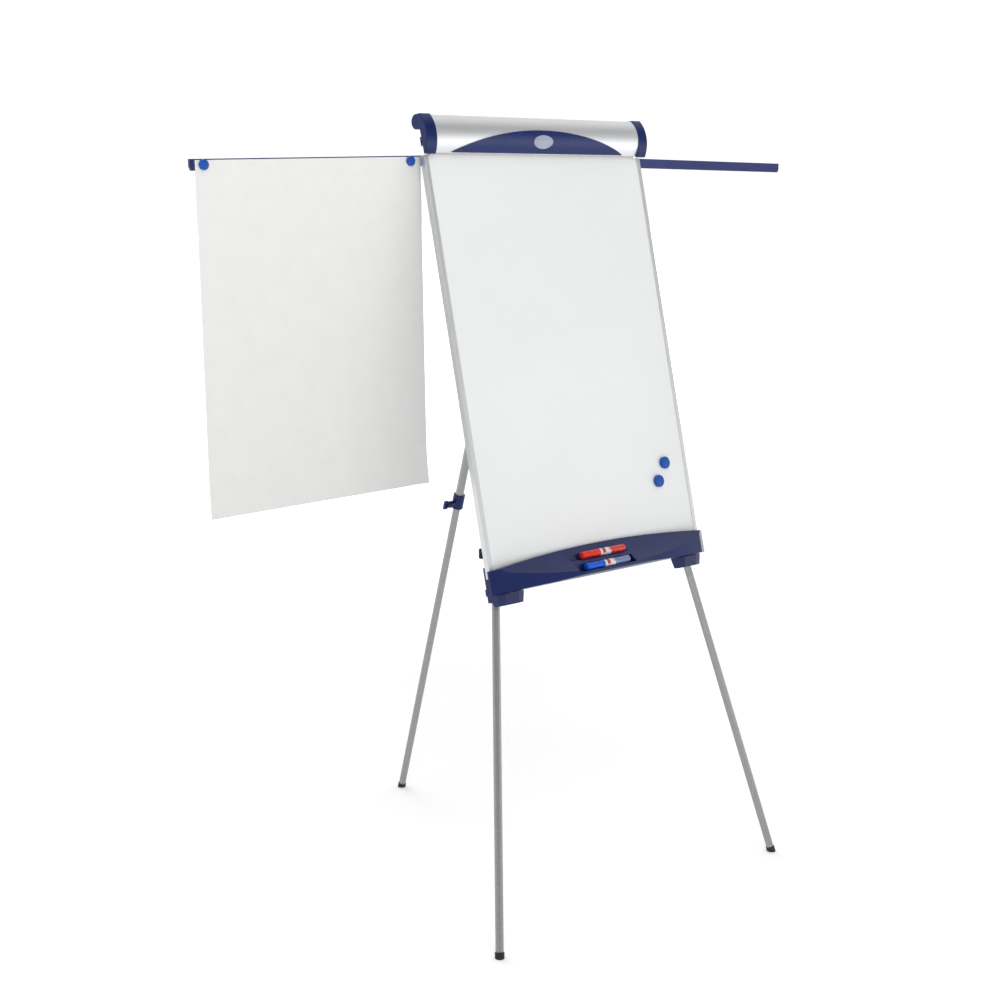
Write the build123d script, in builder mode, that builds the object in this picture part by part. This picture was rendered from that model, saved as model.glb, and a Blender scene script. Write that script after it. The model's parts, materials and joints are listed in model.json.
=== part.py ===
from build123d import *
import os
from math import atan, cos, radians, sin

# Flipchart easel, millimetres: +X right, +Y to the back, +Z up, floor at Z = 0.
os.makedirs("parts", exist_ok=True)

# ---- driving dimensions
TILT = 14.2                 # board leans back from the vertical
BOARD_Y, BOARD_Z = -322.0, 786.0   # board frame's zero: front face, just under the board
BOARD_W, BOARD_LOW, BOARD_TOP = 690.0, 12.0, 1057.0
BOARD_T, LIP, WALL = 16.0, 12.0, 1.4
SHOULDER, NECK_HALF = 1008.0, 325.0   # the board narrows here to pass behind the clamp

LEG_DEPTH, LEG_HALF, LEG_SPREAD = 30.0, 312.0, 0.188   # front leg axes behind the board
TUBE_R, TUBE_BORE, LOWER_R = 11.0, 9.9, 9.5
COLLAR_AT, FRONT_TOP, LOWER_TOP, TUBE_END = 907.0, 1738.0, 1030.0, 6.0   # along a leg, from the floor
REAR_FOOT_Y, REAR_LEAN = 490.0, 16.54
REAR_TUBE_TOP = 1763.0
PIVOT_Y, PIVOT_Z, PIN_R = -14.0, 1800.0, 4.0

AXLE_DEPTH, AXLE_UP, AXLE_R, FIT = 2.0, 1084.0, 4.0, 0.05
COVER_HALF, CAP_HALF = 322.0, 352.0

ARM_H, ARM_T, ARM_WALL, ARM_SLOT = 24.0, 8.0, 1.2, 12.0
ARM_LEN, ARM_END = 640.0, 930.0
LEFT_ARM = dict(side=-1, y=-47.0, z=1758.0, droop=1.39)
RIGHT_ARM = dict(side=1, y=-37.5, z=1756.0, droop=0.76)
PLATE_Y = -22.0             # back of the plates that the arm guides hang from
SHEET_W, SHEET_H, SHEET_T, SHEET_INNER = 585.0, 756.0, 1.0, 335.0

PEN_R, PEN_LEN, CAP_LEN, NECK_LEN = 8.5, 140.0, 55.0, 23.5
PENS = {"red": (-87.0, 30.0, 49.0), "blue": (-96.0, 50.0, 22.0)}   # left end, proud of the board, up it
REST_LEFT, REST_RIGHT = -125.0, 60.0

# ---- planes
T = radians(TILT)
BOARD = Plane(origin=(0, BOARD_Y, BOARD_Z), x_dir=(1, 0, 0), z_dir=(0, -cos(T), sin(T)))
UP = BOARD.y_dir


def yz(depth, up):
    """World (Y, Z) of a point behind the board's front face and up its length."""
    point = BOARD.from_local_coords((0, up, -depth))
    return (point.Y, point.Z)


def across(up):
    """Plane square to the board's length: x right, y to the back."""
    return Plane(origin=BOARD.from_local_coords((0, up, 0)), x_dir=(1, 0, 0), z_dir=UP)


# ---- board: panel in four channel profiles
for side, tag in ((-1, "left"), (1, "right")):
    with BuildPart() as frame_side:
        with BuildSketch(across(BOARD_LOW)):
            with Locations((side * (BOARD_W - LIP) / 2, BOARD_T / 2)):
                RectangleRounded(LIP, BOARD_T, 1.0)
            with Locations((side * (BOARD_W / 2 - WALL - LIP / 2), BOARD_T / 2)):
                Rectangle(LIP, BOARD_T - 2 * WALL, mode=Mode.SUBTRACT)
        extrude(amount=SHOULDER - BOARD_LOW)
    frame_side.part.label = f"frame_{tag}"
    export_step(frame_side.part, f"parts/frame_{tag}.step")

for tag, low, groove, wide in (
    ("bottom", BOARD_LOW, WALL, BOARD_W - 2 * LIP), ("top", BOARD_TOP - LIP, -WALL, 2 * NECK_HALF),
):
    with BuildPart() as frame_end:
        with BuildSketch(BOARD.offset(-BOARD_T / 2)):
            with Locations((0, low + LIP / 2)):
                Rectangle(wide, LIP)
        extrude(amount=BOARD_T / 2, both=True)
        with BuildSketch(BOARD.offset(-BOARD_T / 2)):
            with Locations((0, low + LIP / 2 + groove)):
                Rectangle(BOARD_W, LIP)
        extrude(amount=BOARD_T / 2 - WALL, both=True, mode=Mode.SUBTRACT)
    frame_end.part.label = f"frame_{tag}"
    export_step(frame_end.part, f"parts/frame_{tag}.step")

SKIN = 0.4
for tag, depth, thick in (
    ("board_face", WALL, SKIN),
    ("board_core", WALL + SKIN, BOARD_T - 2 * WALL - 2 * SKIN),
    ("board_back", BOARD_T - WALL - SKIN, SKIN),
):
    with BuildPart() as panel:
        with BuildSketch(BOARD.offset(-depth)):
            with Locations((0, (BOARD_LOW + BOARD_TOP) / 2)):
                Rectangle(BOARD_W - 2 * WALL, BOARD_TOP - BOARD_LOW - 2 * WALL)
            with Locations((-BOARD_W / 2, BOARD_TOP), (BOARD_W / 2, BOARD_TOP)):
                Rectangle(BOARD_W - 2 * NECK_HALF, 2 * (BOARD_TOP - SHOULDER), mode=Mode.SUBTRACT)
        extrude(amount=-thick)
    panel.part.label = tag
    export_step(panel.part, f"parts/{tag}.step")

# ---- pen tray: a wedge under an arched top, bowed in plan, and the pen rest let into its middle
TRAY_HALF, CHEEK = 352.0, 7.0
TRAY_MID, TRAY_END_UP = 72.0, 52.0
LEDGE = PEN_R + 0.4
RED_OUT, RED_UP = PENS["red"][1:]
BLUE_OUT, BLUE_UP = PENS["blue"][1:]
for tag, middle in (("pen_tray", Mode.SUBTRACT), ("pen_rest", Mode.INTERSECT)):
    with BuildPart() as moulding:
        with BuildSketch(Plane.YZ):
            with BuildLine():
                Polyline(yz(-60, 14), yz(-58, 6), yz(-50, 2), yz(0, -4), yz(0, TRAY_MID), yz(-7, TRAY_MID))
                ThreePointArc(yz(-7, TRAY_MID), yz(-32, 42), yz(-60, 14))
            make_face()
        extrude(amount=TRAY_HALF, both=True)
        with BuildSketch(BOARD):      # arched top edge
            with BuildLine():
                ThreePointArc((-400, TRAY_END_UP - 6), (0, TRAY_MID), (400, TRAY_END_UP - 6))
                Polyline((400, TRAY_END_UP - 6), (400, 120), (-400, 120), (-400, TRAY_END_UP - 6))
            make_face()
        extrude(amount=80, mode=Mode.SUBTRACT)
        with BuildSketch(across(-20)):      # bowed front between two flat end facets
            with BuildLine():
                ThreePointArc((-318, -30), (0, -62), (318, -30))
                Polyline((318, -30), (356, -3), (356, 30), (-356, 30), (-356, -3), (-318, -30))
            make_face()
        extrude(amount=120, mode=Mode.INTERSECT)
        with BuildSketch(Plane.YZ.offset(REST_LEFT)):      # ledges for the two pens
            with BuildLine():
                Polyline(
                    yz(-RED_OUT + LEDGE, 110), yz(-RED_OUT + LEDGE, RED_UP - LEDGE),
                    yz(-BLUE_OUT + LEDGE, RED_UP - LEDGE), yz(-BLUE_OUT + LEDGE, BLUE_UP - LEDGE),
                    yz(-90, BLUE_UP - LEDGE), yz(-90, 110), yz(-RED_OUT + LEDGE, 110),
                )
            make_face()
        extrude(amount=REST_RIGHT - REST_LEFT, mode=Mode.SUBTRACT)
        for start, span in ((-290, 150), (72, 218)):      # hollow back, outside the pen rest
            with BuildSketch(Plane.YZ.offset(start)):
                with BuildLine():
                    Polyline(yz(0, 1), yz(-26, 4), yz(-26, 20), yz(-14, 34), yz(0, 34), yz(0, 1))
                make_face()
            extrude(amount=span, mode=Mode.SUBTRACT)
        with BuildSketch(Plane.YZ.offset(REST_LEFT)):      # the middle is the pen rest's
            with BuildLine():
                Polyline(yz(0, -30), yz(0, 110), yz(-90, 110), yz(-90, -30), yz(0, -30))
            make_face()
        extrude(amount=REST_RIGHT - REST_LEFT, mode=middle)
        if tag == "pen_tray":
            with BuildSketch(Plane.YZ):      # shelf under the board
                with BuildLine():
                    Polyline(yz(0, -4), yz(17, -4), yz(17, BOARD_LOW), yz(0, BOARD_LOW), yz(0, -4))
                make_face()
            extrude(amount=TRAY_HALF, both=True)
            for side in (-1, 1):      # cheeks round the board's sides
                with BuildSketch(Plane.YZ.offset(side * (TRAY_HALF - CHEEK / 2))):
                    with BuildLine():
                        Polyline(yz(-5, -3), yz(9, -4), yz(9, 34), yz(-5, 36), yz(-5, -3))
                    make_face()
                extrude(amount=CHEEK / 2, both=True)
    moulding.part.label = tag
    export_step(moulding.part, f"parts/{tag}.step")

# ---- legs: one plane per leg, origin on the floor, z up the tube, x outward to the lever
A = atan(LEG_SPREAD)
foot_up = (LEG_DEPTH * sin(T) - BOARD_Z) / cos(T)
LEGS = {}
for side, tag in ((-1, "front_left"), (1, "front_right")):
    foot = BOARD.from_local_coords((side * (LEG_HALF - LEG_SPREAD * foot_up), foot_up, -LEG_DEPTH))
    LEGS[tag] = Plane(
        origin=foot,
        x_dir=Vector(1, 0, 0) * (side * cos(A)) + UP * sin(A),
        z_dir=UP * cos(A) - Vector(1, 0, 0) * (side * sin(A)),
    )
LEAN = radians(REAR_LEAN)
LEGS["rear"] = Plane(
    origin=(0, REAR_FOOT_Y, 0), x_dir=(-1, 0, 0), z_dir=(0, -sin(LEAN), cos(LEAN))
)
TUBE_TOP = {"front_left": FRONT_TOP, "front_right": FRONT_TOP, "rear": REAR_TUBE_TOP}

for tag, leg in LEGS.items():
    with BuildPart() as upper_tube:
        with BuildSketch(leg.offset(COLLAR_AT)):
            Circle(TUBE_R)
            Circle(TUBE_BORE, mode=Mode.SUBTRACT)
        extrude(amount=TUBE_TOP[tag] - COLLAR_AT)
    upper_tube.part.label = f"{tag}_upper_tube"
    export_step(upper_tube.part, f"parts/{tag}_upper_tube.step")

    with BuildPart() as lower_tube:
        with BuildSketch(leg.offset(TUBE_END)):
            Circle(LOWER_R)
            Circle(LOWER_R - 1.2, mode=Mode.SUBTRACT)
        extrude(amount=LOWER_TOP - TUBE_END)
    lower_tube.part.label = f"{tag}_lower_tube"
    export_step(lower_tube.part, f"parts/{tag}_lower_tube.step")

    with BuildPart() as foot_cap:      # rubber foot, cut flat on the floor
        with BuildSketch(leg.offset(-8)):
            Circle(10.9)
        extrude(amount=21)
        fillet(foot_cap.edges().group_by(Axis(leg.origin, leg.z_dir))[-1], 1)
        with BuildSketch(leg.offset(TUBE_END)):
            Circle(LOWER_R)
        extrude(amount=40, mode=Mode.SUBTRACT)
        split(bisect_by=Plane.XY, keep=Keep.TOP)
    foot_cap.part.label = f"{tag}_foot"
    export_step(foot_cap.part, f"parts/{tag}_foot.step")

    BOSS_AT = COLLAR_AT - 2
    with BuildPart() as collar:      # tube clamp: grips the upper tube, guides the lower one
        with BuildSketch(leg.offset(COLLAR_AT - 14)):
            Circle(15.5)
        extrude(amount=38)
        with BuildSketch(Plane(origin=leg.from_local_coords((0, 0, BOSS_AT)),
                               x_dir=leg.z_dir, z_dir=leg.x_dir)):
            Circle(9)
        extrude(amount=30)
        with BuildSketch(leg.offset(COLLAR_AT - 30)):
            Circle(LOWER_R + 0.4)
        extrude(amount=30, mode=Mode.SUBTRACT)
        with BuildSketch(leg.offset(COLLAR_AT)):
            Circle(TUBE_R)
        extrude(amount=40, mode=Mode.SUBTRACT)
        with BuildSketch(Plane(origin=leg.from_local_coords((20, 0, BOSS_AT)),
                               x_dir=leg.z_dir, z_dir=leg.x_dir)):
            Circle(3 + FIT)
        extrude(amount=20, mode=Mode.SUBTRACT)
        if tag != "rear":
            with BuildSketch(BOARD.offset(-BOARD_T - 0.2)):      # flat against the board
                with Locations((0, 120)):
                    Rectangle(BOARD_W, 200)
            extrude(amount=20, mode=Mode.SUBTRACT)
    collar.part.label = f"{tag}_collar"
    export_step(collar.part, f"parts/{tag}_collar.step")

    with BuildPart() as lever:      # quarter-turn locking lever
        with BuildSketch(Plane(origin=leg.from_local_coords((21, 0, BOSS_AT)),
                               x_dir=leg.z_dir, z_dir=leg.x_dir)):
            Circle(3)
        extrude(amount=12)
        with BuildSketch(Plane(origin=leg.from_local_coords((30.4, 0, BOSS_AT)),
                               x_dir=leg.z_dir, z_dir=leg.x_dir)):
            Circle(8.5)
        extrude(amount=9)
        with BuildSketch(Plane(origin=leg.from_local_coords((36, 0, BOSS_AT)),
                               x_dir=leg.z_dir, z_dir=leg.x_dir)):
            SlotOverall(24, 8)
        extrude(amount=10)
        fillet(lever.edges().group_by(Axis(leg.origin, leg.x_dir))[-1], 1.5)
    lever.part.label = f"{tag}_lever"
    export_step(lever.part, f"parts/{tag}_lever.step")

# ---- blue brackets that guide the front lower tubes under the tray
for side, tag in ((-1, "left"), (1, "right")):
    with BuildPart() as leg_bracket:
        with BuildSketch(across(-31)):
            with Locations((side * 296, 0)):
                Polygon((-37, 17), (-37, 0), (-20, -5), (20, -5), (37, 0), (37, 17), align=None)
        extrude(amount=26.5, taper=-9)
        with BuildSketch(across(-22)):
            with Locations((side * 308, 28)):
                RectangleRounded(46, 26, 3)
        extrude(amount=82)
        with BuildSketch(BOARD.offset(-17.2)):      # clear of the board and its shelf
            with Locations((0, 30)):
                Rectangle(BOARD_W + 40, 69)
        extrude(amount=30, mode=Mode.SUBTRACT)
        with BuildSketch(LEGS[f"front_{tag}"].offset(700)):
            Circle(LOWER_R + 0.5)
        extrude(amount=260, mode=Mode.SUBTRACT)
    leg_bracket.part.label = f"leg_bracket_{tag}"
    export_step(leg_bracket.part, f"parts/leg_bracket_{tag}.step")

with BuildPart() as saddles:      # hold the tubes' top ends on the board's back
    for side, tag in ((-1, "left"), (1, "right")):
        with BuildSketch(across(862)):
            with Locations((side * 149, 29.5)):
                RectangleRounded(46, 27, 3)
        extrude(amount=38)
        with BuildSketch(LEGS[f"front_{tag}"].offset(1600)):
            Circle(TUBE_R)
        extrude(amount=200, mode=Mode.SUBTRACT)
saddles.part.label = "tube_saddles"
export_step(saddles.part, "parts/tube_saddles.step")

# ---- top rail behind the board's top edge, carrying clamp, arms and rear leg
RAIL_IN, RAIL_OUT, RAIL_LOW = 16.0, 31.0, 1035.0
with BuildPart() as top_rail:
    with BuildSketch(Plane.YZ):
        with BuildLine():
            Polyline(yz(RAIL_IN, RAIL_LOW), yz(RAIL_OUT, RAIL_LOW), yz(RAIL_OUT, BOARD_TOP),
                     yz(RAIL_IN, BOARD_TOP), yz(RAIL_IN, RAIL_LOW))
        make_face()
        with BuildLine():
            Polyline(yz(RAIL_IN + 1.5, RAIL_LOW + 1.5), yz(RAIL_OUT - 1.5, RAIL_LOW + 1.5),
                     yz(RAIL_OUT - 1.5, BOARD_TOP - 1.5), yz(RAIL_IN + 1.5, BOARD_TOP - 1.5),
                     yz(RAIL_IN + 1.5, RAIL_LOW + 1.5))
        make_face(mode=Mode.SUBTRACT)
    extrude(amount=NECK_HALF, both=True)
top_rail.part.label = "top_rail"
export_step(top_rail.part, "parts/top_rail.step")

with BuildPart() as hinge_block:      # clevis for the rear leg
    with BuildSketch(Plane.YZ):
        with BuildLine():
            Polyline(yz(RAIL_OUT, 1037), yz(RAIL_OUT, 1056), (PIVOT_Y, PIVOT_Z + 10),
                     (PIVOT_Y, PIVOT_Z - 10), yz(RAIL_OUT, 1037))
        make_face()
        with Locations((PIVOT_Y, PIVOT_Z)):
            Circle(10)
            Circle(PIN_R, mode=Mode.SUBTRACT)
    extrude(amount=20, both=True)
    with BuildSketch(Plane.YZ):      # slot for the knuckle, open below for the fold
        with BuildLine():
            Polyline((PIVOT_Y - 20, PIVOT_Z + 30), (PIVOT_Y - 20, PIVOT_Z - 7),
                     (PIVOT_Y - 40, PIVOT_Z - 7), (PIVOT_Y - 40, PIVOT_Z - 30),
                     (PIVOT_Y + 20, PIVOT_Z - 30), (PIVOT_Y + 20, PIVOT_Z + 30),
                     (PIVOT_Y - 20, PIVOT_Z + 30))
        make_face()
    extrude(amount=13, both=True, mode=Mode.SUBTRACT)
hinge_block.part.label = "leg_hinge_block"
export_step(hinge_block.part, "parts/leg_hinge_block.step")

with BuildPart() as hinge_pin:
    with BuildSketch(Plane.YZ):
        with Locations((PIVOT_Y, PIVOT_Z)):
            Circle(PIN_R)
    extrude(amount=22.5, both=True)
    for side in (-1, 1):
        with BuildSketch(Plane.YZ.offset(side * 22.5)):
            with Locations((PIVOT_Y, PIVOT_Z)):
                Circle(6.5)
        extrude(amount=2 * side)
hinge_pin.part.label = "leg_hinge_pin"
export_step(hinge_pin.part, "parts/leg_hinge_pin.step")

rear = LEGS["rear"]
with BuildPart() as knuckle:      # plugs the rear upper tube, passes behind the arms
    with BuildSketch(Plane.YZ):
        with Locations((PIVOT_Y, PIVOT_Z)):
            Circle(12)
        with BuildLine():
            Polyline((PIVOT_Y - 12, PIVOT_Z), (PIVOT_Y - 12, PIVOT_Z - 90),
                     (PIVOT_Y - 11, PIVOT_Z - 109), (PIVOT_Y + 12, PIVOT_Z - 102),
                     (PIVOT_Y + 12, PIVOT_Z), (PIVOT_Y - 12, PIVOT_Z))
        make_face()
    extrude(amount=12.5, both=True)
    with BuildSketch(rear.offset(REAR_TUBE_TOP - 38)):
        Circle(TUBE_BORE)
    extrude(amount=50)
    with BuildSketch(rear.offset(REAR_TUBE_TOP)):
        Circle(13)
    extrude(amount=12)
    with BuildSketch(rear.offset(REAR_TUBE_TOP)):
        Circle(30)
        Circle(TUBE_BORE, mode=Mode.SUBTRACT)
    extrude(amount=-60, mode=Mode.SUBTRACT)
    with BuildSketch(Plane.YZ):
        with Locations((PIVOT_Y, PIVOT_Z)):
            Circle(PIN_R + FIT)
    extrude(amount=20, both=True, mode=Mode.SUBTRACT)
knuckle.part.label = "rear_leg_knuckle"
export_step(knuckle.part, "parts/rear_leg_knuckle.step")

# ---- clamp axle, its bearings and return springs
def ring_at(x):
    """Plane across the clamp axle at a given X, origin on the axle."""
    return Plane(origin=(x, *yz(AXLE_DEPTH, AXLE_UP)), x_dir=(0, 1, 0), z_dir=(1, 0, 0))


with BuildPart() as clamp_axle:
    with BuildSketch(ring_at(-345)):
        Circle(AXLE_R)
    extrude(amount=690)
clamp_axle.part.label = "clamp_axle"
export_step(clamp_axle.part, "parts/clamp_axle.step")

for side, tag in ((-1, "left"), (1, "right")):
    with BuildPart() as bearing:
        with BuildSketch(Plane.YZ.offset(side * 300)):
            with BuildLine():
                Polyline(yz(2, BOARD_TOP), yz(30, BOARD_TOP), yz(30, BOARD_TOP + 5),
                         yz(17, AXLE_UP), yz(-1, AXLE_UP), yz(2, BOARD_TOP))
            make_face()
        extrude(amount=6 * side)
        with BuildSketch(ring_at(side * 300)):
            Circle(9)
        extrude(amount=6 * side)
        with BuildSketch(ring_at(side * 290)):
            Circle(AXLE_R)
        extrude(amount=20 * side, mode=Mode.SUBTRACT)
    bearing.part.label = f"clamp_bearing_{tag}"
    export_step(bearing.part, f"parts/clamp_bearing_{tag}.step")

    coil = ring_at(side * 283)
    with BuildPart() as spring:
        with BuildLine():
            wire = Helix(pitch=2.6, height=13, radius=6.4, center=coil.origin, direction=coil.z_dir)
        with BuildSketch(Plane(origin=wire @ 0, z_dir=wire % 0)):
            Circle(0.8)
        sweep(path=wire)
    spring.part.label = f"clamp_spring_{tag}"
    export_step(spring.part, f"parts/clamp_spring_{tag}.step")

# ---- pad clamp: curved cover, end caps on the axle, arch inlay, rubber grip
with BuildPart() as clamp_cover:
    with BuildSketch(Plane.YZ):
        with BuildLine():
            ThreePointArc(yz(-9, 1010.5), yz(-29, 1056), yz(-14, 1097))
            Polyline(yz(-14, 1097), yz(4, 1101.5), yz(4, 1099.3), yz(-13, 1095))
            ThreePointArc(yz(-13, 1095), yz(-26.8, 1056), yz(-7, 1012))
            Line(yz(-7, 1012), yz(-9, 1010.5))
        make_face()
    extrude(amount=COVER_HALF, both=True)
clamp_cover.part.label = "clamp_cover"
export_step(clamp_cover.part, "parts/clamp_cover.step")

for side, tag in ((-1, "left"), (1, "right")):
    with BuildPart() as clamp_cap:
        with BuildSketch(Plane.YZ.offset(side * COVER_HALF)):
            with Locations(yz(AXLE_DEPTH, AXLE_UP)):
                Circle(17.5)
            with BuildLine():
                ThreePointArc(yz(-14, 1007.5), yz(-30, 1056), yz(-15, 1099))
                Polyline(yz(-15, 1099), yz(-9, 1101), yz(8, 1097), yz(8, 1070),
                         yz(-7, 1064), yz(-9, 1007.5), yz(-14, 1007.5))
            make_face()
            with Locations(yz(-10, 1105.5)):
                Circle(6, mode=Mode.SUBTRACT)
        extrude(amount=side * (CAP_HALF - COVER_HALF))
        fillet(clamp_cap.edges().group_by(Axis.X)[0 if side < 0 else -1], 1.6)
        with BuildSketch(ring_at(side * (COVER_HALF - 1))):
            Circle(AXLE_R + FIT)
        extrude(amount=side * 25, mode=Mode.SUBTRACT)
    clamp_cap.part.label = f"clamp_cap_{tag}"
    export_step(clamp_cap.part, f"parts/clamp_cap_{tag}.step")

with BuildPart() as clamp_inlay:      # blue arch on the cover's lower front
    with BuildSketch(Plane.YZ):
        with BuildLine():
            ThreePointArc(yz(-9, 1010.5), yz(-29, 1056), yz(-14, 1097))
            Line(yz(-14, 1097), yz(-16.5, 1098))
            ThreePointArc(yz(-16.5, 1098), yz(-31.5, 1056), yz(-11, 1009.5))
            Line(yz(-11, 1009.5), yz(-9, 1010.5))
        make_face()
    extrude(amount=275, both=True)
    with BuildSketch(BOARD):
        with BuildLine():
            ThreePointArc((-272, 1011.5), (0, 1063), (272, 1011.5))
            Line((272, 1011.5), (-272, 1011.5))
        make_face()
    extrude(amount=60, mode=Mode.INTERSECT)
clamp_inlay.part.label = "clamp_inlay"
export_step(clamp_inlay.part, "parts/clamp_inlay.step")

with BuildPart() as grip_strip:
    with BuildSketch(Plane.YZ):
        with BuildLine():
            Polyline(yz(-0.6, 1013), yz(-7.5, 1013.5), yz(-12.5, 1023), yz(-0.6, 1021), yz(-0.6, 1013))
        make_face()
    extrude(amount=300, both=True)
    with BuildSketch(Plane.YZ):
        with BuildLine():
            ThreePointArc(yz(-7, 1012), yz(-26.8, 1056), yz(-13, 1095))
            Polyline(yz(-13, 1095), yz(-40, 1095), yz(-40, 1000), yz(-7, 1000), yz(-7, 1012))
        make_face()
    extrude(amount=310, both=True, mode=Mode.SUBTRACT)
grip_strip.part.label = "clamp_grip_strip"
export_step(grip_strip.part, "parts/clamp_grip_strip.step")

# ---- pad hooks on their rail under the clamp
with BuildPart() as hook_rail:
    with BuildSketch(Plane.YZ):
        with BuildLine():
            Polyline(yz(0, 1046), yz(-2.5, 1046), yz(-2.5, 1043), yz(-5, 1043), yz(-5, 1055),
                     yz(-2.5, 1055), yz(-2.5, 1052), yz(0, 1052), yz(0, 1046))
        make_face()
    extrude(amount=290, both=True)
hook_rail.part.label = "hook_rail"
export_step(hook_rail.part, "parts/hook_rail.step")

for x, tag in ((-140, "left"), (140, "right")):
    with BuildPart() as pad_hook:
        with BuildSketch(Plane.YZ.offset(x)):
            with BuildLine():
                Polyline(yz(-0.4, 1042.6), yz(-0.4, 1038), yz(-8, 1028), yz(-8, 1056),
                         yz(-5.4, 1056), yz(-5.4, 1042.6), yz(-2.2, 1042.6), yz(-0.4, 1042.6))
            make_face()
        extrude(amount=14, both=True)
        with BuildSketch(BOARD.offset(7)):
            with Locations((x, 1036)):
                Circle(3.5)
        extrude(amount=6)
    pad_hook.part.label = f"pad_hook_{tag}"
    export_step(pad_hook.part, f"parts/pad_hook_{tag}.step")

# ---- display arms: channels open at the back, running on the guides' shoes
for tag, arm in (("left", LEFT_ARM), ("right", RIGHT_ARM)):
    side, droop = arm["side"], radians(arm["droop"])
    out = Vector(side * cos(droop), 0, -sin(droop))
    start = Vector(0, arm["y"] + ARM_T / 2, arm["z"])
    inner = ARM_END / cos(droop) - ARM_LEN
    arm_plane = Plane(origin=start, x_dir=(0, 1, 0), z_dir=out)
    with BuildPart() as channel:
        with BuildSketch(arm_plane.offset(inner)):
            RectangleRounded(ARM_T, ARM_H, 0.8)
            Rectangle(ARM_T - 2 * ARM_WALL, ARM_H - 2 * ARM_WALL, mode=Mode.SUBTRACT)
            with Locations((ARM_T / 2, 0)):
                Rectangle(ARM_T, ARM_SLOT, mode=Mode.SUBTRACT)
        extrude(amount=ARM_LEN - 6)
    channel.part.label = f"{tag}_arm"
    export_step(channel.part, f"parts/{tag}_arm.step")

    with BuildPart() as arm_end:      # plastic plug with its lower corner cut back
        with BuildSketch(Plane.XZ.offset(-arm["y"])):
            with BuildLine():
                tip = start + out * (ARM_END / cos(droop))
                x0, x1, z = side * (ARM_END - 6), side * ARM_END, tip.Z
                Polyline((x0, z + 12), (x1, z + 12), (x1, z - 4), (x1 - side * 4, z - 12),
                         (x0, z - 12), (x0, z + 12))
            make_face()
        extrude(amount=-ARM_T)
        with BuildSketch(arm_plane.offset(ARM_END / cos(droop) - 30)):
            Rectangle(ARM_T - 2 * ARM_WALL, ARM_H - 2 * ARM_WALL)
        extrude(amount=27)
        with BuildSketch(arm_plane.offset(inner)):
            Rectangle(ARM_T + 2, ARM_H + 2)
            Rectangle(ARM_T - 2 * ARM_WALL, ARM_H - 2 * ARM_WALL, mode=Mode.SUBTRACT)
        extrude(amount=ARM_LEN - 6, mode=Mode.SUBTRACT)
    arm_end.part.label = f"{tag}_arm_end"
    export_step(arm_end.part, f"parts/{tag}_arm_end.step")

    with BuildPart() as guide:      # hangs from the top rail, shoe inside the channel
        with BuildSketch(arm_plane.offset(282)):
            Rectangle(ARM_T - 2 * ARM_WALL - 0.8, ARM_H - 2 * ARM_WALL - 0.8)
        extrude(amount=52)
        with BuildSketch(Plane.XZ.offset(-arm["y"] - ARM_T / 2)):
            with Locations((side * 288.5, arm["z"] - 288.5 * sin(droop))):
                Rectangle(13, ARM_SLOT - 1.6)
        extrude(amount=arm["y"] + ARM_T / 2 - PLATE_Y)
        with BuildSketch(Plane.YZ.offset(side * 282)):
            with BuildLine():
                Polyline(yz(RAIL_OUT, 1037), yz(RAIL_OUT, BOARD_TOP), (PLATE_Y, 1801), (PLATE_Y, 1738),
                         (PLATE_Y - 4, 1738), (PLATE_Y - 4, 1783), yz(RAIL_OUT, 1037))
            make_face()
        extrude(amount=side * 13)
    guide.part.label = f"arm_guide_{tag}"
    export_step(guide.part, f"parts/arm_guide_{tag}.step")

# ---- sheet hung from the left arm, and the two magnets that hold it
droop = radians(LEFT_ARM["droop"])
SHEET = Plane(
    origin=(0, LEFT_ARM["y"], LEFT_ARM["z"] + ARM_H / 2 - 2.5),
    x_dir=(cos(droop), 0, sin(droop)), z_dir=(0, -1, 0),
)
with BuildPart() as sheet:
    with BuildSketch(SHEET.offset(0.2)):
        with Locations((-SHEET_INNER - SHEET_W / 2, -SHEET_H / 2)):
            Rectangle(SHEET_W, SHEET_H)
    extrude(amount=SHEET_T)
sheet.part.label = "paper_sheet"
export_step(sheet.part, "parts/paper_sheet.step")

for x, tag in ((-901, "outer"), (-365, "inner")):
    with BuildPart() as arm_magnet:
        with BuildSketch(SHEET.offset(0.2 + SHEET_T + 0.2)):
            with Locations((x, -9.5)):
                Circle(11)
        extrude(amount=6)
        fillet(arm_magnet.edges().group_by(Axis.Y)[0], 1.5)
    arm_magnet.part.label = f"arm_magnet_{tag}"
    export_step(arm_magnet.part, f"parts/arm_magnet_{tag}.step")

for x, up, tag in ((263, 236, "upper"), (233, 193, "lower")):
    with BuildPart() as board_magnet:
        with BuildSketch(BOARD.offset(0.3 - WALL)):
            with Locations((x, up)):
                Circle(15)
        extrude(amount=8)
        fillet(board_magnet.edges().group_by(Axis((0, 0, 0), BOARD.z_dir))[-1], 2)
    board_magnet.part.label = f"board_magnet_{tag}"
    export_step(board_magnet.part, f"parts/board_magnet_{tag}.step")

# ---- pens, lying along X on the tray's ledges
def across_pen(x, proud, up):
    """Plane across a pen at a given X, origin on its axis."""
    return Plane(origin=(x, *yz(-proud, up)), x_dir=(0, 1, 0), z_dir=(1, 0, 0))


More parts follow.
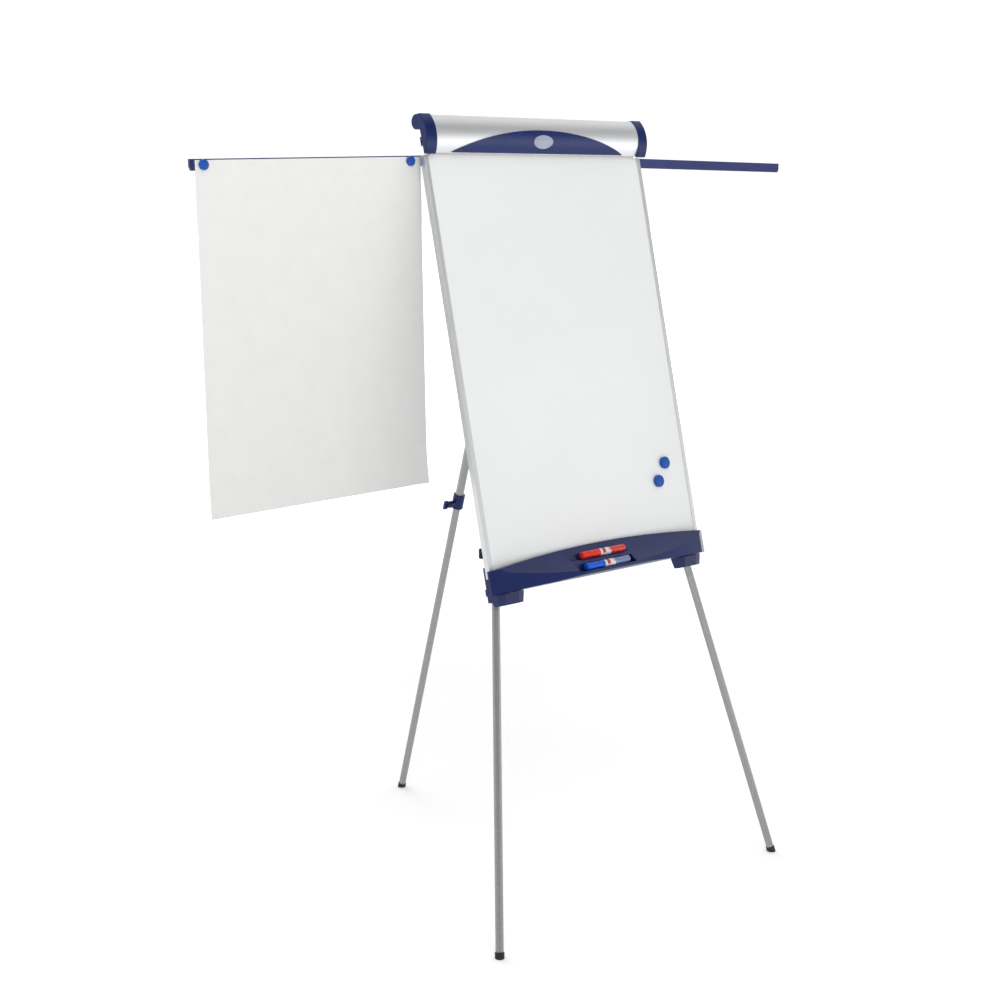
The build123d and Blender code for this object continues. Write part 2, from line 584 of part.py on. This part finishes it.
for tag, (left, *axis) in PENS.items():
    joint_x = left + CAP_LEN
    with BuildPart() as pen_barrel:
        with BuildSketch(across_pen(joint_x + 0.4, *axis)):
            Circle(PEN_R - 0.1)
        extrude(amount=PEN_LEN - CAP_LEN - 0.4)
        fillet(pen_barrel.edges().group_by(Axis.X)[-1], 3)
        with BuildSketch(across_pen(joint_x - NECK_LEN, *axis)):
            Circle(PEN_R - 1.5)
        extrude(amount=NECK_LEN + 1)
        with BuildSketch(across_pen(joint_x - NECK_LEN - 10, *axis)):
            Circle(2.4)
        extrude(amount=12)
    pen_barrel.part.label = f"{tag}_pen_barrel"
    export_step(pen_barrel.part, f"parts/{tag}_pen_barrel.step")

    with BuildPart() as pen_cap:
        with BuildSketch(across_pen(left, *axis)):
            Circle(PEN_R)
        extrude(amount=CAP_LEN)
        fillet(pen_cap.edges().group_by(Axis.X)[0], 3)
        with BuildSketch(across_pen(left + 4, *axis)):
            Circle(PEN_R - 1.45)
        extrude(amount=CAP_LEN, mode=Mode.SUBTRACT)
    pen_cap.part.label = f"{tag}_pen_cap"
    export_step(pen_cap.part, f"parts/{tag}_pen_cap.step")

# ---- heads of the screws through the tube saddles and the leg brackets
SADDLE_BACK, BRACKET_BACK = 43.0, 41.0      # behind the board's front face
with BuildPart() as screws:
    for side in (-1, 1):
        with BuildSketch(BOARD.offset(-SADDLE_BACK)):
            with Locations((side * 131.5, 868), (side * 131.5, 894)):
                Circle(3.5)
        extrude(amount=-2)
        with BuildSketch(BOARD.offset(-BRACKET_BACK)):
            with Locations((side * 291, 50), (side * 322, 50)):
                Circle(3)
        extrude(amount=-2)
screws.part.label = "board_screws"
export_step(screws.part, "parts/board_screws.step")
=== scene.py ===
import json
from math import cos, pi, radians, sin

import bpy
from mathutils import Matrix, Vector


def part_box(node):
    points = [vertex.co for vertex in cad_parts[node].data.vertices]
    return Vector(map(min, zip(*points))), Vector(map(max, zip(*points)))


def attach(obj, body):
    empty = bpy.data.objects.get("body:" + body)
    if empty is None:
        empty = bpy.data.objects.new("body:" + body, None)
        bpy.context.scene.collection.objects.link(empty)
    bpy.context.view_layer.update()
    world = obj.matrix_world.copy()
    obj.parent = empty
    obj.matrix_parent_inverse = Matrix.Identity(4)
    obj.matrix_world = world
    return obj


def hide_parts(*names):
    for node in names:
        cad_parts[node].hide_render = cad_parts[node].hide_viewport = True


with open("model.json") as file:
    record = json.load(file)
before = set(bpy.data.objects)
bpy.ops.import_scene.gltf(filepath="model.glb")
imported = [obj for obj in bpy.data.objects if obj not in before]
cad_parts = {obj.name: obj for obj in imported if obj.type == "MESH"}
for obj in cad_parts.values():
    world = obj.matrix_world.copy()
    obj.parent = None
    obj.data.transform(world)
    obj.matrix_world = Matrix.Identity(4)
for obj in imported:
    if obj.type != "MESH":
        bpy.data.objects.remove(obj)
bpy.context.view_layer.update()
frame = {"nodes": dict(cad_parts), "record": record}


def begin():
    """Clears the selection, so that an operator acts on the next piece only."""
    for thing in bpy.context.selected_objects:
        thing.select_set(False)


begin()

# ---- where things are, in metres: the board leans back, and its zero is just under it
TILT = radians(14.2)
OUT = Vector((0, -cos(TILT), sin(TILT)))        # square to the writing face
UP = Vector((0, sin(TILT), cos(TILT)))          # along the board's length
BOARD_ZERO = Vector((0, -0.322, 0.786))


def on_board(x, up, out=0.0):
    """A place on the easel, given across, up and out from the writing face in mm."""
    return BOARD_ZERO + Vector((x, 0, 0)) * 0.001 + UP * (up * 0.001) + OUT * (out * 0.001)


# ---- camera, in metres and degrees
CAMERA_PLACE = (-2.650, -3.054, 1.707)
CAMERA_TURN, CAMERA_DOWN, CAMERA_ROLL = -40.40, 11.13, 0.24

camera = bpy.data.objects.new("camera", bpy.data.cameras.new("camera"))
bpy.context.scene.collection.objects.link(camera)
camera.data.lens, camera.data.sensor_width = 58.5, 36.0
camera.data.clip_start, camera.data.clip_end = 0.1, 300
camera.matrix_world = (
    Matrix.Translation(CAMERA_PLACE)
    @ Matrix.Rotation(radians(CAMERA_TURN), 4, "Z")
    @ Matrix.Rotation(radians(90 - CAMERA_DOWN), 4, "X")
    @ Matrix.Rotation(radians(CAMERA_ROLL), 4, "Z")
)
bpy.context.scene.camera = camera


# ---- materials
USUAL = {"From Min": 0.3, "From Max": 0.7}      # most of a noise pattern lies between these
BATCH_MM, HANDLING_MM = 60.0, 35.0              # patch sizes of a moulding's colour and of its wear


def srgb(code):
    """An sRGB hex colour as the linear colour that a shader takes."""
    parts = [int(code[i:i + 2], 16) / 255 for i in (1, 3, 5)]
    return tuple(p / 12.92 if p <= 0.04045 else ((p + 0.055) / 1.055) ** 2.4 for p in parts) + (1.0,)


def add(tree, kind, settings=None, links=None):
    """Adds a node with its settings, which are properties or unlinked inputs, and its links."""
    node = tree.nodes.new("ShaderNode" + kind)
    for name, value in (settings or {}).items():
        if isinstance(name, int) or name in node.inputs:
            node.inputs[name].default_value = value
        else:
            setattr(node, name, value)
    for name, socket in (links or {}).items():
        tree.links.new(socket, node.inputs[name])
    return node


def start(name, **shader):
    """An empty material: its tree, its shader and the place on the piece."""
    made = bpy.data.materials.new(name)
    made.use_nodes = True
    tree = made.node_tree
    tree.nodes.clear()
    settings = {key.replace("_", " ").title().replace("Ior", "IOR"): value for key, value in shader.items()}
    surface = add(tree, "BsdfPrincipled", settings)
    add(tree, "OutputMaterial", links={"Surface": surface.outputs["BSDF"]})
    return made, tree, surface, add(tree, "TexCoord").outputs["Object"]


def per_metre(size_mm):
    """How often a feature of this size comes in a metre, which is a texture's scale."""
    return 1000.0 / size_mm


def shade(tree, surface, pattern, dark, light):
    """Colours a finish between two shades, as the pattern goes from 0 to 1."""
    shades = add(tree, "Mix", {"data_type": "RGBA", 6: srgb(dark), 7: srgb(light)}, {0: pattern})
    tree.links.new(shades.outputs[2], surface.inputs["Base Color"])


def two_shades(tree, surface, where, dark, light, size_mm, detail=3.0):
    """Colour that drifts between two near shades, as a batch or a coat does."""
    drift = add(tree, "TexNoise", {"Scale": per_metre(size_mm), "Detail": detail}, {"Vector": where})
    spread = add(tree, "MapRange", USUAL, {"Value": drift.outputs["Fac"]})
    shade(tree, surface, spread.outputs["Result"], dark, light)


def rub(tree, surface, where, low, high, size_mm):
    """Roughness that runs from handled to untouched in patches of this size."""
    patches = add(tree, "TexNoise", {"Scale": per_metre(size_mm), "Detail": 4.0, "Roughness": 0.6},
                  {"Vector": where})
    spread = add(tree, "MapRange", USUAL | {"To Min": low, "To Max": high}, {"Value": patches.outputs["Fac"]})
    tree.links.new(spread.outputs["Result"], surface.inputs["Roughness"])


def relief(tree, surface, height, strength, deep_mm):
    """Turns a height pattern into fine relief of this depth."""
    bump = add(tree, "Bump", {"Strength": strength, "Distance": deep_mm * 0.001}, {"Height": height})
    tree.links.new(bump.outputs["Normal"], surface.inputs["Normal"])


def moulded(name, dark, light, low, high, grain_mm, strength, deep_mm=0.06, **shader):
    """Injection-moulded plastic: near-even colour, and the fine spark-eroded grain of its mould."""
    made, tree, surface, where = start(name, **shader)
    two_shades(tree, surface, where, dark, light, BATCH_MM)
    rub(tree, surface, where, low, high, HANDLING_MM)
    grain = add(tree, "TexNoise", {"Scale": per_metre(grain_mm), "Detail": 2.0}, {"Vector": where})
    relief(tree, surface, grain.outputs["Fac"], strength, deep_mm)
    return made


def drawn(name, dark, light, low, high, along, line_mm, strength, turn=(0, 0, 0), **shader):
    """Drawn or extruded metal: hairlines that run along the piece, one line every line_mm."""
    made, tree, surface, where = start(name, **shader)
    stretch = [1.0, 1.0, 1.0]
    stretch[along] = 0.012      # a hairline is some eighty times as long as it is wide
    lay = add(tree, "Mapping", {"Rotation": turn, "Scale": stretch}, {"Vector": where})
    lines = add(tree, "TexNoise", {"Scale": per_metre(line_mm), "Detail": 3.0, "Roughness": 0.7},
                {"Vector": lay.outputs["Vector"]})
    spread = add(tree, "MapRange", USUAL, {"Value": lines.outputs["Fac"]})
    shade(tree, surface, spread.outputs["Result"], dark, light)
    satin = add(tree, "MapRange", {"To Min": low, "To Max": high}, {"Value": lines.outputs["Fac"]})
    tree.links.new(satin.outputs["Result"], surface.inputs["Roughness"])
    relief(tree, surface, lines.outputs["Fac"], strength, 0.02)
    return made


# Satin ABS, injection moulded: deep navy with a soft sheen. The mould's grain is 0.3 mm,
# and it is drawn at 1.2 mm so that it shows.
navy_abs = moulded("navy_satin_abs", "#0B1C50", "#10225A", 0.20, 0.27, 1.2, 0.03, ior=1.50,
                   specular_ior_level=0.27)
# The same ABS on the clamp's inlay, a shade lighter and a touch rougher.
inlay_abs = moulded("navy_inlay_abs", "#112258", "#162860", 0.24, 0.30, 1.6, 0.02, ior=1.50,
                    specular_ior_level=0.30)
# The two front levers, moulded in black-blue.
lever_abs = moulded("dark_lever_abs", "#0B0E22", "#12162E", 0.34, 0.46, 1.0, 0.10, ior=1.50,
                    specular_ior_level=0.35)
# Vulcanised rubber: near black, matt, pebbled by the mould.
rubber = moulded("moulded_black_rubber", "#1B1B1D", "#262628", 0.62, 0.82, 1.4, 0.5, 0.12, ior=1.52)
# Polystyrene magnet shell: bright, even blue under a gloss.
magnet_shell = moulded("blue_magnet_polystyrene", "#00489A", "#0154AC", 0.20, 0.28, 3.0, 0.03, ior=1.59,
                       specular_ior_level=0.22)
# Polypropylene pen caps: waxy, saturated, with faint flow mottling.
red_cap = moulded("red_polypropylene", "#E02612", "#EC3420", 0.26, 0.34, 2.0, 0.04, ior=1.49,
                  specular_ior_level=0.3, subsurface_weight=0.08, subsurface_scale=0.002)
blue_cap = moulded("blue_polypropylene", "#024CC4", "#0A5CD8", 0.26, 0.34, 2.0, 0.04, ior=1.49,
                   specular_ior_level=0.3, subsurface_weight=0.08, subsurface_scale=0.002)
# Tinted polypropylene barrels, which let some light through.
red_barrel = moulded("red_tinted_barrel", "#E2301C", "#F0442E", 0.12, 0.20, 2.5, 0.03, ior=1.49,
                     transmission_weight=0.25)
blue_barrel = moulded("clear_blue_barrel", "#5C78BE", "#A8BAE0", 0.10, 0.18, 9.0, 0.03, ior=1.49,
                      transmission_weight=0.45)
# Pen label: coated white paper, wrapped.
label_paper = moulded("coated_label_paper", "#D6D3D1", "#DFDDDB", 0.30, 0.42, 0.8, 0.05, 0.03, ior=1.48)
label_red = moulded("red_printing_ink", "#B8232A", "#C4303A", 0.34, 0.44, 0.8, 0.1, 0.03, ior=1.48)
label_grey = moulded("grey_printing_ink", "#8A8F9C", "#9AA0AC", 0.34, 0.44, 0.8, 0.1, 0.03, ior=1.48)
# Badge: pearl-grey enamelled plate, satin.
badge_enamel = moulded("pearl_grey_badge_enamel", "#8D96A8", "#A0A8B8", 0.26, 0.34, 2.4, 0.05, ior=1.52)

# Anodised aluminium profiles: silver satin with hairlines along the extrusion. Real die lines are
# 0.1 mm apart, and they are drawn at 0.8 mm so that they show.
upright_profile = drawn("anodised_aluminium_upright", "#C8CACC", "#D8D9DA", 0.30, 0.44, 2, 0.8, 0.10,
                        turn=(TILT, 0, 0), metallic=0.75)
cross_profile = drawn("anodised_aluminium_cross", "#C8CACC", "#D8D9DA", 0.30, 0.44, 0, 0.8, 0.10,
                      metallic=0.75)
cover_profile = drawn("satin_anodised_cover", "#D6D7D9", "#DEDFE0", 0.36, 0.42, 0, 0.9, 0.02,
                      metallic=0.85)
# Silver lacquered steel tube: satin, with faint streaks along it.
tube_lacquer = drawn("silver_lacquered_steel", "#8C8D8F", "#A2A3A5", 0.22, 0.30, 2, 1.4, 0.04,
                     metallic=0.55)
# Navy powder-coated steel arms, satin with a slight orange peel.
arm_coat = moulded("navy_powder_coat", "#0A1A5A", "#102266", 0.20, 0.27, 2.2, 0.03, ior=1.52,
                   specular_ior_level=0.40)
# Bright zinc plate on the screws and the rear leg's hinge pin.
zinc = drawn("bright_zinc_plate", "#A9ABA8", "#C4C6C2", 0.18, 0.32, 0, 0.5, 0.15, metallic=1.0)


def enamel():
    """Vitreous enamel on sheet steel: gloss white with the orange peel of a fired coat."""
    made, tree, surface, where = start("white_vitreous_enamel", ior=1.52, coat_weight=0.3,
                                       coat_roughness=0.08)
    two_shades(tree, surface, where, "#E7E8E8", "#E9EAEA", 220.0)
    rub(tree, surface, where, 0.275, 0.29, 90.0)      # wiping leaves it duller in places
    peel = add(tree, "TexNoise", {"Scale": per_metre(4.0), "Detail": 1.5}, {"Vector": where})
    relief(tree, surface, peel.outputs["Fac"], 0.10, 0.05)
    return made


def galvanised():
    """Hot-dip galvanised steel: spangle crystals about 10 mm across, each a little brighter or duller."""
    made, tree, surface, where = start("hot_dip_galvanised_steel", metallic=0.9)
    spangle = add(tree, "TexVoronoi", {"Scale": per_metre(10.0), "Randomness": 1.0}, {"Vector": where})
    tone = add(tree, "SeparateColor", links={"Color": spangle.outputs["Color"]})
    shade(tree, surface, tone.outputs["Red"], "#999DA0", "#AEB2B3")
    dull = add(tree, "MapRange", {"To Min": 0.30, "To Max": 0.52}, {"Value": tone.outputs["Green"]})
    tree.links.new(dull.outputs["Result"], surface.inputs["Roughness"])
    relief(tree, surface, spangle.outputs["Distance"], 0.12, 0.05)
    return made


def honeycomb():
    """Bleached paper honeycomb, seen only as the panel's edge: matt, cells 12 mm across."""
    made, tree, surface, where = start("bleached_paper_honeycomb", ior=1.45)
    cells = add(tree, "TexVoronoi", {"Scale": per_metre(12.0), "feature": "DISTANCE_TO_EDGE"},
                {"Vector": where})
    wall = add(tree, "MapRange", {"From Max": 0.12}, {"Value": cells.outputs["Distance"]})
    shade(tree, surface, wall.outputs["Result"], "#A8A69F", "#CFCDC6")
    rub(tree, surface, where, 0.75, 0.92, 6.0)
    relief(tree, surface, cells.outputs["Distance"], 0.4, 0.3)
    return made


def uncoated_paper():
    """Uncoated pad paper, 60 g: matt, slightly cloudy where the fibres lie thick, with a fine tooth."""
    made, tree, surface, where = start("uncoated_pad_paper", ior=1.45, specular_ior_level=0.25)
    two_shades(tree, surface, where, "#E0E0DE", "#E3E3E1", 45.0, 5.0)      # the pulp's cloudiness
    rub(tree, surface, where, 0.72, 0.88, 12.0)
    tooth = add(tree, "TexNoise", {"Scale": per_metre(1.5), "Detail": 4.0, "Roughness": 0.7},
                {"Vector": where})
    relief(tree, surface, tooth.outputs["Fac"], 0.18, 0.06)
    return made


white_enamel, zinc_coat, comb, pad_paper = enamel(), galvanised(), honeycomb(), uncoated_paper()

FINISHES = {
    "white_enamel": white_enamel, "galvanised_steel": zinc_coat, "board_core": comb,
    "paper": pad_paper, "anodised_aluminium": cross_profile, "silver_painted_steel": tube_lacquer,
    "black_rubber": rubber, "blue_magnet_shell": magnet_shell, "zinc_plated_steel": zinc,
    "navy_painted_steel": arm_coat, "red_plastic": red_cap, "blue_plastic": blue_cap,
    "pen_barrel_red": red_barrel, "pen_barrel_blue": blue_barrel, "navy_abs": navy_abs,
}
OWN = {
    "frame_left": upright_profile, "frame_right": upright_profile, "clamp_cover": cover_profile,
    "clamp_inlay": inlay_abs, "front_left_lever": lever_abs, "front_right_lever": lever_abs,
}
for row in frame["record"]["subparts"]:
    node = frame["nodes"][row["node"]]
    for place in node.material_slots:
        place.material = OWN.get(row["node"], FINISHES[row["material_slot"]])


# ---- modelling helpers
def settle(piece, name, material, body):
    """Puts a finished piece's place into its mesh, names it, finishes it and hangs it on its body."""
    begin()
    piece.select_set(True)
    bpy.context.view_layer.objects.active = piece
    bpy.ops.object.transform_apply(location=True, rotation=True, scale=True)
    piece.name = piece.data.name = name
    if not piece.data.materials:
        piece.data.materials.append(material)
    bpy.ops.object.shade_smooth_by_angle(angle=radians(35))
    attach(piece, body)
    begin()
    return piece


def finish_with(piece, kind, **settings):
    """Adds a modifier, sets it and applies it."""
    bpy.context.view_layer.objects.active = piece
    step = piece.modifiers.new(kind.lower(), kind)
    for name, value in settings.items():
        setattr(step, name, value)
    bpy.ops.object.modifier_apply(modifier=step.name)


def pick_faces(piece, wanted):
    """In edit mode's face selection, selects the faces for which wanted(face) holds."""
    bpy.ops.object.mode_set(mode="EDIT")
    bpy.ops.mesh.select_mode(type="FACE")
    bpy.ops.mesh.select_all(action="DESELECT")
    bpy.ops.object.mode_set(mode="OBJECT")
    for face in piece.data.polygons:
        face.select = wanted(face)
    bpy.ops.object.mode_set(mode="EDIT")


# ---- magnets: a shell with a rolled rim round a shallow dished face, in metres
ARM_MAGNET, BOARD_MAGNET = (0.011, 0.006), (0.015, 0.008)      # radius and height
DISH = ((0.16, -0.10), (0.10, 0.06), (0.35, 0.03))             # in and up, as shares of those two


def magnet(name, centre, outward, radius, height):
    begin()
    bpy.ops.mesh.primitive_cylinder_add(vertices=64, radius=radius, depth=height)
    puck = bpy.context.object
    pick_faces(puck, lambda face: face.normal.z > 0.9)
    for inward, lift in DISH:
        bpy.ops.mesh.inset(thickness=radius * inward)
        bpy.ops.transform.translate(value=(0, 0, height * lift))
    bpy.ops.object.mode_set(mode="OBJECT")
    finish_with(puck, "BEVEL", width=min(0.0012, radius * 0.07), segments=4, angle_limit=radians(28))
    puck.rotation_euler = outward.to_track_quat("Z", "Y").to_euler()
    puck.location = centre
    piece = settle(puck, name + "_shell", magnet_shell, name)
    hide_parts(name)


for name in ("arm_magnet_outer", "arm_magnet_inner", "board_magnet_upper", "board_magnet_lower"):
    low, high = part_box(name)
    on_arm = name.startswith("arm")
    radius, height = ARM_MAGNET if on_arm else BOARD_MAGNET
    magnet(name, (low + high) / 2, Vector((0, -1, 0)) if on_arm else OUT, radius, height)


# ---- pen labels: a wrapped paper sleeve with two printed patches, placed in metres past the cap's end
CAP_MM = 55
SLEEVE_RADIUS, SLEEVE_LENGTH, SLEEVE_MIDDLE = 0.00845, 0.034, 0.0185
RED_FROM, RED_TO, GREY_FROM = 0.008, 0.018, 0.030
PRINTED_SIDE = Vector((0, -0.6, 0.8))
RED_FACING, GREY_FACING = 0.55, 0.8      # the least a face has to look that way to be printed


def pen_label(colour, left, proud, up):
    begin()
    axis = on_board(0, up, proud)
    seam = (left + CAP_MM) * 0.001      # where the cap ends
    bpy.ops.mesh.primitive_cylinder_add(vertices=64, radius=SLEEVE_RADIUS, depth=SLEEVE_LENGTH,
                                        end_fill_type="NOTHING", rotation=(0, pi / 2, 0),
                                        location=(seam + SLEEVE_MIDDLE, axis.y, axis.z))
    sleeve = bpy.context.object
    bpy.ops.object.transform_apply(location=True, rotation=True, scale=True)
    bpy.ops.object.mode_set(mode="EDIT")
    for cut in (RED_FROM, RED_TO, GREY_FROM):
        bpy.ops.mesh.select_all(action="SELECT")
        bpy.ops.mesh.bisect(plane_co=(seam + cut, 0, 0), plane_no=(1, 0, 0))
    bpy.ops.object.mode_set(mode="OBJECT")
    for print_or_paper in (label_paper, label_red, label_grey):
        sleeve.data.materials.append(print_or_paper)
    for face in sleeve.data.polygons:
        facing = face.normal.normalized().dot(PRINTED_SIDE)
        if seam + RED_FROM < face.center.x < seam + RED_TO and facing > RED_FACING:
            face.material_index = 1
        elif face.center.x > seam + GREY_FROM and facing > GREY_FACING:
            face.material_index = 2
    finish_with(sleeve, "SOLIDIFY", thickness=0.00012, offset=1.0)
    settle(sleeve, colour + "_pen_label", label_paper, colour + "_pen")


pen_label("red", -87, 30, 49)
pen_label("blue", -96, 50, 22)


# ---- badge: a plain oval plate that follows the cover's curve
COVER_ARC = (Vector((11.0, 1009.5)), Vector((31.5, 1056.0)), Vector((16.5, 1098.0)))      # out and up, in mm
BADGE_OUT, BADGE_UP = 24, 1036                                  # in mm
BADGE_HALF_WIDE, BADGE_HALF_HIGH = 0.0300, 0.0150               # from here on in metres
BADGE_PROUD = 0.0011
DRUM_LENGTH, PUNCH_DEPTH = 0.09, 0.022


def circle_middle(a, b, c):
    """The middle of the circle through three points."""
    d = 2 * (a.x * (b.y - c.y) + b.x * (c.y - a.y) + c.x * (a.y - b.y))
    aa, bb, cc = a.length_squared, b.length_squared, c.length_squared
    return Vector((
        (aa * (b.y - c.y) + bb * (c.y - a.y) + cc * (a.y - b.y)) / d,
        (aa * (c.x - b.x) + bb * (a.x - c.x) + cc * (b.x - a.x)) / d,
    ))


def badge():
    middle = circle_middle(*COVER_ARC)
    radius = (COVER_ARC[0] - middle).length * 0.001
    centre = on_board(0, middle.y, middle.x)
    begin()
    bpy.ops.mesh.primitive_cylinder_add(vertices=256, radius=radius + BADGE_PROUD, depth=DRUM_LENGTH,
                                        location=centre, rotation=(0, pi / 2, 0))
    drum = bpy.context.object
    bpy.ops.object.transform_apply(location=True, rotation=True, scale=True)
    begin()
    bpy.ops.mesh.primitive_cylinder_add(vertices=96, radius=1.0, depth=PUNCH_DEPTH,
                                        location=on_board(0, BADGE_UP, BADGE_OUT))
    plate = bpy.context.object
    plate.scale = (BADGE_HALF_WIDE, BADGE_HALF_HIGH, 1.0)
    plate.rotation_euler = OUT.to_track_quat("Z", "Y").to_euler()
    bpy.ops.object.transform_apply(location=True, rotation=True, scale=True)
    finish_with(plate, "BOOLEAN", operation="INTERSECT", object=drum, solver="EXACT")
    bpy.data.objects.remove(drum)
    finish_with(plate, "BEVEL", width=0.0005, segments=2, angle_limit=radians(40))
    settle(plate, "clamp_badge", badge_enamel, "pad_clamp")


badge()


# ---- paper: a pad sheet hung by its top edge, with the curl it kept from the pad, in metres
TOP_LINE = Vector((0, -0.0477, 1.7675))          # its top edge, carried on to the easel's middle
INNER_EDGE = -0.335                              # from there along that edge to the corner by the board
FORWARD = 0.0006                                 # the whole sheet stands this much further forward
BELLY, FLUTE, CURL, OUTER_LIFT, INNER_LIFT = 0.005, 0.0022, 0.008, 0.002, 0.006


def onset(at, first, span):
    """Nothing up to first, then a square rise that reaches 1 after the span."""
    return max(0.0, (at - first) / span) ** 2


def hung_sheet():
    droop, hang = radians(1.39), radians(0.75)   # how far the top edge and the sides are off true
    width, length = 0.585, 0.756
    begin()
    bpy.ops.mesh.primitive_grid_add(x_subdivisions=74, y_subdivisions=94, size=1.0)
    paper = bpy.context.object
    paper.data.transform(Matrix.Diagonal((width, length, 1.0, 1.0)))
    along, down = Vector((cos(droop), 0, sin(droop))), Vector((sin(hang), 0, -cos(hang)))
    corner = TOP_LINE + along * INNER_EDGE
    for vertex in paper.data.vertices:
        u = 0.5 - vertex.co.x / width            # 0 at the board side, 1 at the outer end
        v = 0.5 - vertex.co.y / length           # 0 at the top edge, 1 at the bottom
        loose = v * v * (3 - 2 * v)
        belly = BELLY * sin(pi * u) * loose                      # hangs a little full in the middle
        ripple = FLUTE * sin(2.4 * pi * u + 0.7) * v             # soft flutes under the magnets
        curl = CURL * onset(v, 0.86, 0.14) * (0.4 + 0.6 * (1 - u))
        edge = OUTER_LIFT * onset(u, 0.90, 0.10) * v + INNER_LIFT * onset(0.10 - u, 0.0, 0.10) * v
        forward = FORWARD + belly + ripple * v + curl + edge
        vertex.co = corner - along * (u * width) + down * (v * length) + Vector((0, -forward, 0))
    paper.data.update()
    bpy.context.view_layer.objects.active = paper
    finish_with(paper, "SOLIDIFY", thickness=0.0003, offset=0.0)
    piece = settle(paper, "pad_sheet", pad_paper, "left_arm")
    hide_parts("paper_sheet")


hung_sheet()


# ---- floor and light
def studio_floor():
    """A white floor that glows though it is no lamp: faintly by the easel and more strongly further out, so
    that it meets the backdrop softly.
    """
    begin()
    bpy.ops.mesh.primitive_circle_add(vertices=96, radius=60, fill_type="NGON", location=(0, 0, -0.0005))
    floor = bpy.context.object
    floor.name = "floor"
    paint, tree, surface, where = start("matt_white_studio_floor", roughness=0.75, ior=1.45,
                                        specular_ior_level=0.2)
    two_shades(tree, surface, where, "#F4F4F4", "#F8F8F8", 900.0)
    glow = {"From Min": 1.5, "From Max": 9.0, "To Min": 0.20, "To Max": 0.95}      # by metres from the easel
    reach = add(tree, "VectorMath", {"operation": "LENGTH"}, {0: where})
    fade = add(tree, "MapRange", glow, {"Value": reach.outputs["Value"]})
    surface.inputs["Emission Color"].default_value = (1, 1, 1, 1)
    tree.links.new(fade.outputs["Result"], surface.inputs["Emission Strength"])
    floor.data.materials.append(paint)


def studio_room():
    """The room as a world: From is the direction where a light starts and ends, To is its strength."""
    camera_way = (0.65, 0.76, 0.0)      # level
    wall_light = {"From Min": -0.2, "From Max": 0.4, "To Min": 0.38, "To Max": 1.06}
    band_light = {"From Min": 0.30, "From Max": 0.56, "To Min": 1.0, "To Max": 0.35}
    front_only = {"From Min": -0.45, "From Max": -0.15, "To Min": 0.0, "To Max": 1.0}
    ceiling_light = {"From Min": 0.60, "From Max": 0.78, "To Min": 0.0, "To Max": 0.72}
    sweep_light = {"From Min": 0.12, "From Max": 0.34, "To Min": 0.86, "To Max": 0.0}

    world = bpy.data.worlds.new("studio")
    bpy.context.scene.world = world
    world.use_nodes = True
    tree = world.node_tree
    tree.nodes.clear()
    where = add(tree, "TexCoord").outputs["Generated"]
    axes = add(tree, "SeparateXYZ", links={"Vector": where})
    far = add(tree, "VectorMath", {"operation": "DOT_PRODUCT", 1: camera_way}, {0: where})
    wall = add(tree, "MapRange", wall_light, {"Value": far.outputs["Value"]})
    # between wall and ceiling the front of the room is darker: curved metal shows that as a dark band
    edge = add(tree, "MapRange", band_light, {"Value": axes.outputs["Z"]})
    front = add(tree, "MapRange", front_only, {"Value": axes.outputs["Y"]})
    lit = add(tree, "Math", {"operation": "MULTIPLY"}, {0: wall.outputs["Result"], 1: edge.outputs["Result"]})
    glow = add(tree, "Mix", {"data_type": "FLOAT"},
               {0: front.outputs["Result"], 2: lit.outputs[0], 3: wall.outputs["Result"]})
    ceiling = add(tree, "MapRange", ceiling_light, {"Value": axes.outputs["Z"]})
    upper = add(tree, "Math", {"operation": "MAXIMUM"}, {0: glow.outputs[0], 1: ceiling.outputs["Result"]})
    # a pale sweep behind the easel from every side, fading out above head height
    sweep = add(tree, "MapRange", sweep_light, {"Value": axes.outputs["Z"]})
    total = add(tree, "Math", {"operation": "MAXIMUM"}, {0: upper.outputs[0], 1: sweep.outputs["Result"]})
    sky = add(tree, "Background", {"Color": (1, 1, 1, 1)}, {"Strength": total.outputs[0]})
    add(tree, "OutputWorld", links={"Surface": sky.outputs["Background"]})


def softbox(name, place, aim, wide, high, watts):
    """A rectangular lamp at a place, turned to the spot that it aims at."""
    light = bpy.data.objects.new(name, bpy.data.lights.new(name, "AREA"))
    bpy.context.scene.collection.objects.link(light)
    light.data.shape, light.data.size, light.data.size_y = "RECTANGLE", wide, high
    light.data.energy = watts
    light.location = place
    light.rotation_euler = (Vector(aim) - Vector(place)).to_track_quat("-Z", "Y").to_euler()


studio_floor()
studio_room()
softbox("key", (-1.9, -3.4, 4.0), (0, 0, 1.1), 2.6, 2.6, 56)
softbox("strip", (2.89, -3.35, 1.3), (0, -0.3, 1.3), 0.9, 2.4, 7)
softbox("back", (0.6, 3.6, 4.0), (0, 0, 1.0), 2.6, 2.6, 34)

bpy.context.scene.view_settings.view_transform = "Standard"
